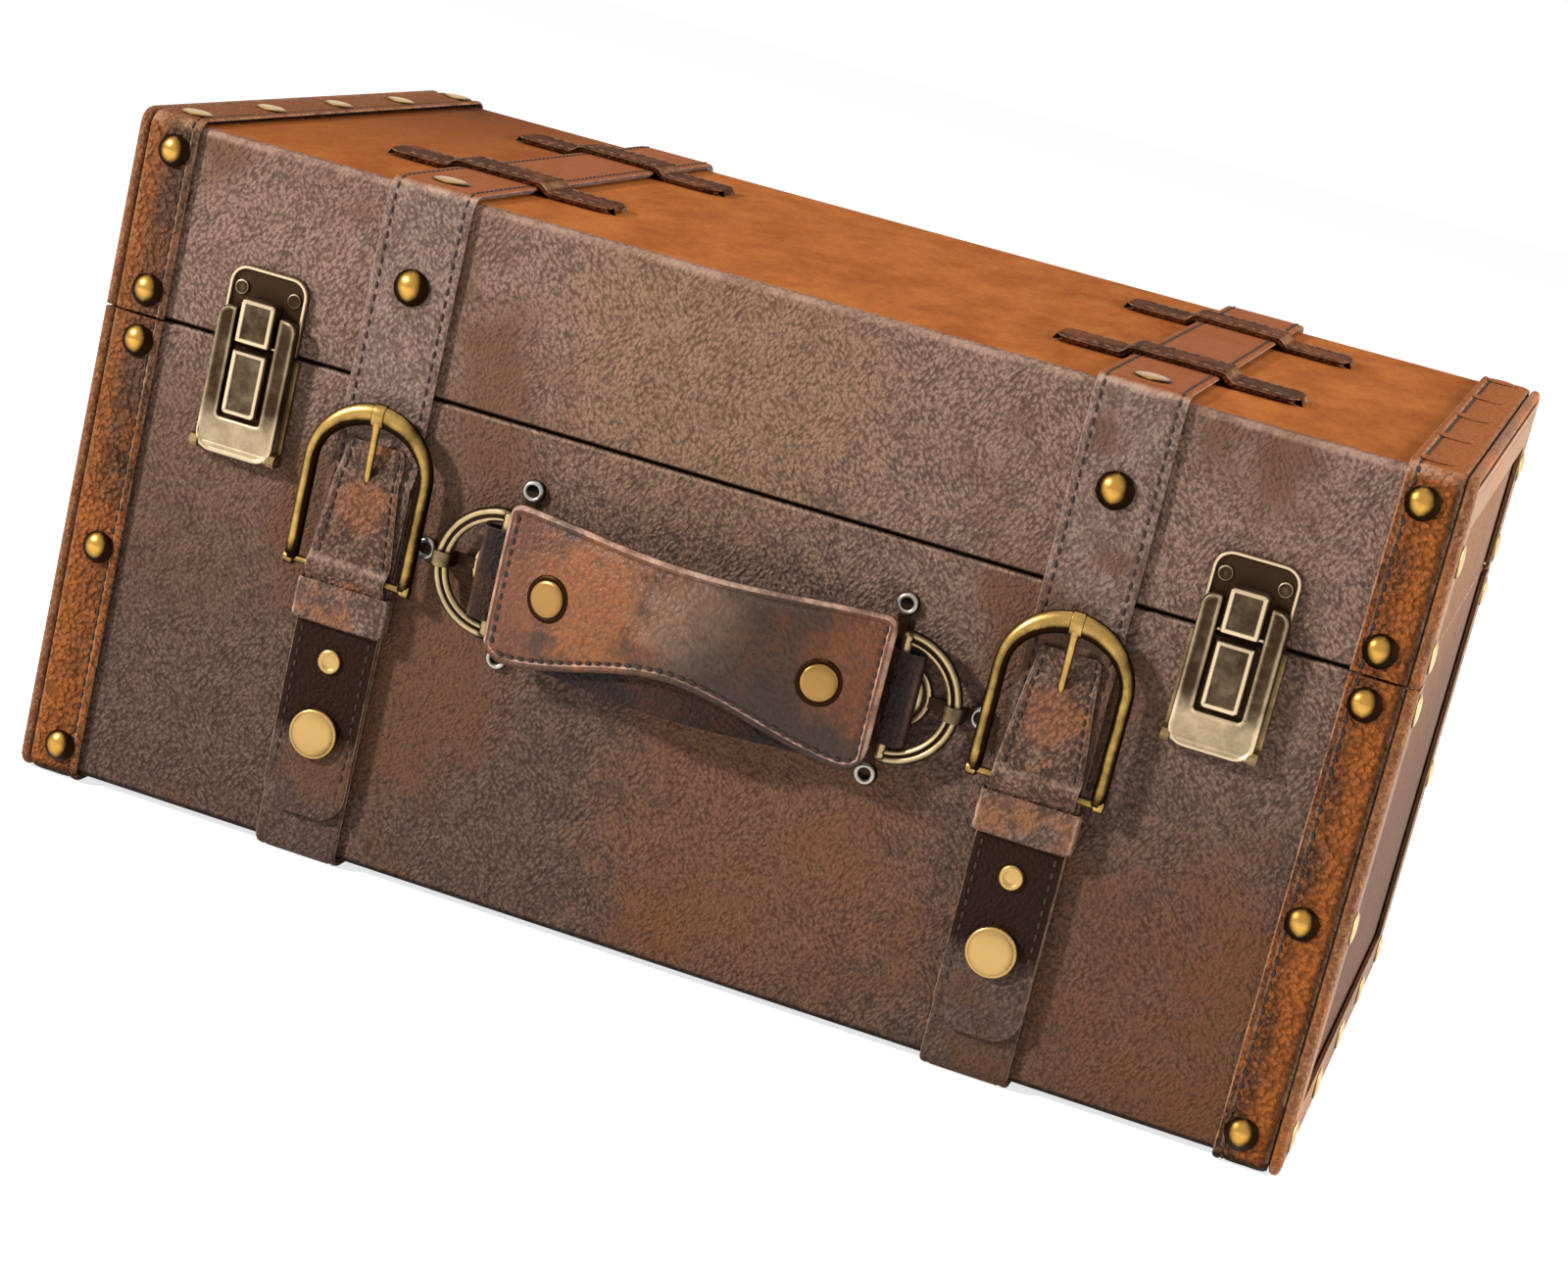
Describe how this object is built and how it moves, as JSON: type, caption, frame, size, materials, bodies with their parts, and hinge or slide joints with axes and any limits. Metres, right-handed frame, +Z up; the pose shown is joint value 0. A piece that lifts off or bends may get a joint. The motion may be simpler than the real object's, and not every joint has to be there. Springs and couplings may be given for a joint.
{
  "type": "suitcase keepsake box",
  "caption": "Suitcase-shaped wooden keepsake box covered in leatherette, with a hinged lid, buckled straps, lever latches and a front handle on sliding rings.",
  "frame": {"origin": "middle of the underside of the box round the whole object, on the surface that it stands on", "axes": "+X to the right of someone facing the front, +Y from the front to the back, +Z up"},
  "size_m": [0.3682, 0.2312, 0.191],
  "materials": {
    "bare_wood": "sanded plywood",
    "leatherette": "grey-brown grained leatherette with copper rub-through",
    "top_leather": "tan suede-like leatherette",
    "band_leather": "pebbled brown leatherette, mottled orange and dark",
    "strap_leather": "stitched brown leather",
    "grip_leather": "burnished brown leather with a tan raw edge",
    "dark_leather": "dark brown leather",
    "felt_lining": "brown felt",
    "antique_brass": "antique brass, worn bright on the edges",
    "aged_bronze": "dark antique plating, worn bright on the edges",
    "steel": "plain steel"
  },
  "bodies": {
    "base": {"base_floor": "bare_wood", "base_front_wall": "bare_wood", "base_back_wall": "bare_wood", "base_left_wall": "bare_wood", "base_right_wall": "bare_wood", "base_cover": "leatherette", "base_lining": "felt_lining", "base_band_left": "band_leather", "base_band_right": "band_leather", "base_strap_left": "strap_leather", "base_strap_right": "strap_leather", "snap_disc_left": "steel", "snap_disc_right": "steel", "latch_base_left": "aged_bronze", "latch_base_right": "aged_bronze", "latch_pin_left": "steel", "latch_pin_right": "steel", "ring_plate_left": "aged_bronze", "ring_plate_right": "aged_bronze", "hinge_base_leaf_left": "aged_bronze", "hinge_base_leaf_right": "aged_bronze", "hinge_pin_left": "steel", "hinge_pin_right": "steel"},
    "lid": {"lid_panel": "bare_wood", "lid_front_wall": "bare_wood", "lid_back_wall": "bare_wood", "lid_left_wall": "bare_wood", "lid_right_wall": "bare_wood", "lid_cover": "leatherette", "lid_top_sheet": "top_leather", "lid_lining": "felt_lining", "lid_band_left": "band_leather", "lid_band_right": "band_leather", "lid_strap_left": "strap_leather", "lid_strap_right": "strap_leather", "lid_loop_front_left": "strap_leather", "lid_loop_rear_left": "strap_leather", "lid_loop_front_right": "strap_leather", "lid_loop_rear_right": "strap_leather", "latch_strike_left": "aged_bronze", "latch_strike_right": "aged_bronze", "hinge_lid_leaf_left": "aged_bronze", "hinge_lid_leaf_right": "aged_bronze"},
    "flap_left_body": {"flap_left": "strap_leather", "flap_keeper_left": "strap_leather", "snap_cap_left": "antique_brass"},
    "flap_right_body": {"flap_right": "strap_leather", "flap_keeper_right": "strap_leather", "snap_cap_right": "antique_brass"},
    "buckle_left_body": {"buckle_left": "antique_brass"},
    "buckle_right_body": {"buckle_right": "antique_brass"},
    "lever_left_body": {"latch_lever_left": "aged_bronze"},
    "lever_right_body": {"latch_lever_right": "aged_bronze"},
    "handle": {"handle_pad": "grip_leather", "handle_strap": "dark_leather", "handle_rivet_left": "antique_brass", "handle_rivet_right": "antique_brass"},
    "ring_left_body": {"handle_ring_left": "aged_bronze"},
    "ring_right_body": {"handle_ring_right": "aged_bronze"}
  },
  "joints": [
    {"name": "lid_hinge", "type": "hinge", "parent": "base", "child": "lid", "pos_m": [0, 0.11331, 0.1332], "axis": [-1, 0, 0], "range_deg": [0, 105]},
    {"name": "flap_left_bend", "type": "hinge", "parent": "lid", "child": "flap_left_body", "pos_m": [-0.0965, -0.09579, 0.1532], "axis": [-1, 0, 0], "range_deg": [0, 110]},
    {"name": "flap_right_bend", "type": "hinge", "parent": "lid", "child": "flap_right_body", "pos_m": [0.0965, -0.09579, 0.1532], "axis": [-1, 0, 0], "range_deg": [0, 110]},
    {"name": "buckle_left_hinge", "type": "hinge", "parent": "flap_left_body", "child": "buckle_left_body", "pos_m": [-0.0965, -0.09929, 0.0822], "axis": [1, 0, 0], "range_deg": [0, 60]},
    {"name": "buckle_right_hinge", "type": "hinge", "parent": "flap_right_body", "child": "buckle_right_body", "pos_m": [0.0965, -0.09929, 0.0822], "axis": [1, 0, 0], "range_deg": [0, 60]},
    {"name": "latch_left_hinge", "type": "hinge", "parent": "base", "child": "lever_left_body", "pos_m": [-0.136, -0.09749, 0.1052], "axis": [1, 0, 0], "range_deg": [0, 100]},
    {"name": "latch_right_hinge", "type": "hinge", "parent": "base", "child": "lever_right_body", "pos_m": [0.136, -0.09749, 0.1052], "axis": [1, 0, 0], "range_deg": [0, 100]},
    {"name": "handle_slide", "type": "slide", "parent": "base", "child": "handle", "axis": [0, -1, 0], "range_m": [0, 0.009]},
    {"name": "ring_left_hinge", "type": "hinge", "parent": "base", "child": "ring_left_body", "pos_m": [-0.0714, -0.09909, 0.0941], "axis": [0, 0, -1], "range_deg": [0, 35]},
    {"name": "ring_right_hinge", "type": "hinge", "parent": "base", "child": "ring_right_body", "pos_m": [0.0714, -0.09909, 0.0941], "axis": [0, 0, 1], "range_deg": [0, 35]}
  ],
  "couplings": [
    {"joint": "ring_left_hinge", "follows": "handle_slide", "rad_per_m": 66.9},
    {"joint": "ring_right_hinge", "follows": "handle_slide", "rad_per_m": 66.9}
  ]
}
